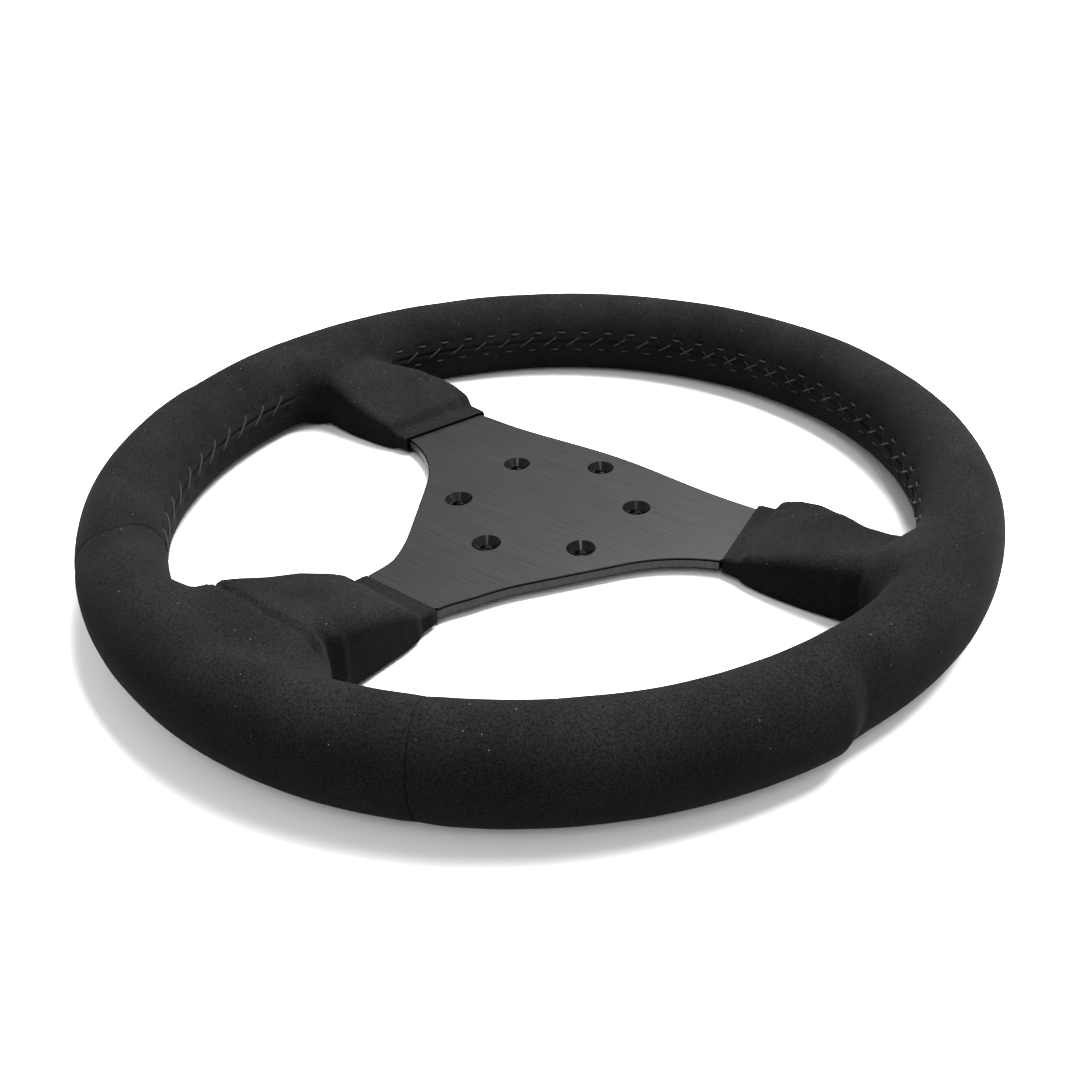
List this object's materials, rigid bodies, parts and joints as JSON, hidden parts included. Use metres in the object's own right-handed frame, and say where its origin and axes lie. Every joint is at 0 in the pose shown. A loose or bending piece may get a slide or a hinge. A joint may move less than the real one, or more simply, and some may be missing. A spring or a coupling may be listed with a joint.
{
  "type": "racing steering wheel",
  "caption": "Round racing steering wheel: suede-wrapped foam grip with padded spoke boots on a flat brushed plate, drilled with a countersunk bolt circle for a hub.",
  "frame": {"origin": "centre of the bolt circle on the rear face of the spoke plate, where the hub or adapter meets it", "axes": "+Z along the wheel's axis towards the driver, +Y to twelve o'clock, +X to three o'clock"},
  "size_m": [0.33, 0.33, 0.037],
  "materials": {
    "anodised_plate": "brushed, black anodised",
    "steel": "drawn tube and bent strap",
    "rivet": "plain",
    "foam": "moulded foam, matte",
    "suede": "black suede with a short nap",
    "thread": "waxed black thread"
  },
  "bodies": {
    "root": {"spoke_plate": "anodised_plate", "rim_core_tube": "steel", "foam_core": "foam", "rim_cover_upper": "suede", "rim_cover_bottom": "suede", "spoke_tab_right": "steel", "boot_cover_right": "suede", "rivet_right_a": "rivet", "rivet_right_b": "rivet", "spoke_tab_left": "steel", "boot_cover_left": "suede", "rivet_left_a": "rivet", "rivet_left_b": "rivet", "spoke_tab_bottom": "steel", "boot_cover_bottom": "suede", "rivet_bottom_a": "rivet", "rivet_bottom_b": "rivet", "lacing_top": "thread", "lacing_left": "thread", "lacing_right": "thread"}
  },
  "joints": []
}
